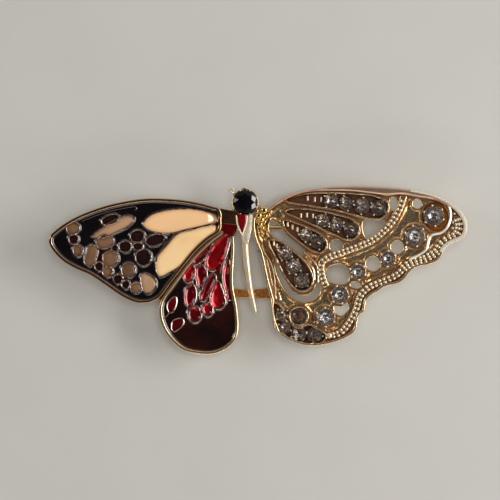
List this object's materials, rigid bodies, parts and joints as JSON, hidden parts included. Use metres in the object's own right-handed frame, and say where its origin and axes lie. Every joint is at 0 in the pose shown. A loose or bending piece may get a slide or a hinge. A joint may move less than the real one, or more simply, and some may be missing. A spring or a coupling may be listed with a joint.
{
  "type": "decorative pin",
  "caption": "Butterfly pin with enamelled left wings, an openwork right wing set with clear stones, a slim gilt body, and a hinged pin with a turning safety catch behind.",
  "frame": {"origin": "middle of the bounding box on the plane the pin back rests on", "axes": "+X along the wing span towards the stone-set wing, +Y towards the head, +Z out of the decorated face"},
  "size_m": [0.0694, 0.0282, 0.0079],
  "materials": {
    "yellow_gold": "polished gilt",
    "pale_gold": "polished pale gilt",
    "cream_enamel": "gloss opaque enamel",
    "black_enamel": "gloss opaque enamel",
    "red_enamel": "gloss translucent enamel",
    "clear_glass": "faceted foil-backed crystal",
    "jet_glass": "faceted black glass"
  },
  "bodies": {
    "brooch": {"antenna_left": "yellow_gold", "antenna_right": "yellow_gold", "body": "yellow_gold", "catch": "yellow_gold", "cream_back": "cream_enamel", "cream_front": "cream_enamel", "cream_spot_comma": "cream_enamel", "cream_spot_corner": "cream_enamel", "cream_spot_edge": "cream_enamel", "cream_spot_low": "cream_enamel", "cream_spot_middle": "cream_enamel", "cream_spot_tip": "cream_enamel", "cream_spot_wide": "cream_enamel", "cream_tip_bar": "cream_enamel", "cross_tie": "yellow_gold", "forewing_black": "black_enamel", "forewing_tray": "yellow_gold", "head_cup": "yellow_gold", "head_stone": "jet_glass", "hindwing_black": "black_enamel", "hindwing_tray": "yellow_gold", "hinge_bracket": "yellow_gold", "hinge_rivet": "pale_gold", "red_blade": "red_enamel", "red_drop": "red_enamel", "red_edge": "red_enamel", "red_inner_strip": "red_enamel", "red_low_outer": "red_enamel", "red_low_spot": "red_enamel", "red_middle": "red_enamel", "red_outer": "red_enamel", "red_root": "red_enamel", "red_shoulder": "red_enamel", "red_thorax_drop": "red_enamel", "right_wing": "pale_gold", "stone_cup_1": "clear_glass", "stone_cup_2": "clear_glass", "stone_cup_3": "clear_glass", "stone_cup_4": "clear_glass", "stone_cup_5": "clear_glass", "stone_cup_6": "clear_glass", "stone_row_1": "clear_glass", "stone_row_10": "clear_glass", "stone_row_11": "clear_glass", "stone_row_12": "clear_glass", "stone_row_13": "clear_glass", "stone_row_14": "clear_glass", "stone_row_15": "clear_glass", "stone_row_16": "clear_glass", "stone_row_17": "clear_glass", "stone_row_2": "clear_glass", "stone_row_3": "clear_glass", "stone_row_4": "clear_glass", "stone_row_5": "clear_glass", "stone_row_6": "clear_glass", "stone_row_7": "clear_glass", "stone_row_8": "clear_glass", "stone_row_9": "clear_glass"},
    "stem": {"pin_stem": "pale_gold"},
    "sleeve": {"catch_sleeve": "pale_gold"}
  },
  "joints": [
    {"name": "stem_hinge", "type": "hinge", "parent": "brooch", "child": "stem", "pos_m": [-0.0124, 0.00707, 0.00132], "axis": [0, 1, 0], "range_deg": [0, 75]},
    {"name": "sleeve_turn", "type": "hinge", "parent": "brooch", "child": "sleeve", "pos_m": [0.00956, 0.00707, 0.00132], "axis": [1, 0, 0], "range_deg": [0, 100]}
  ]
}
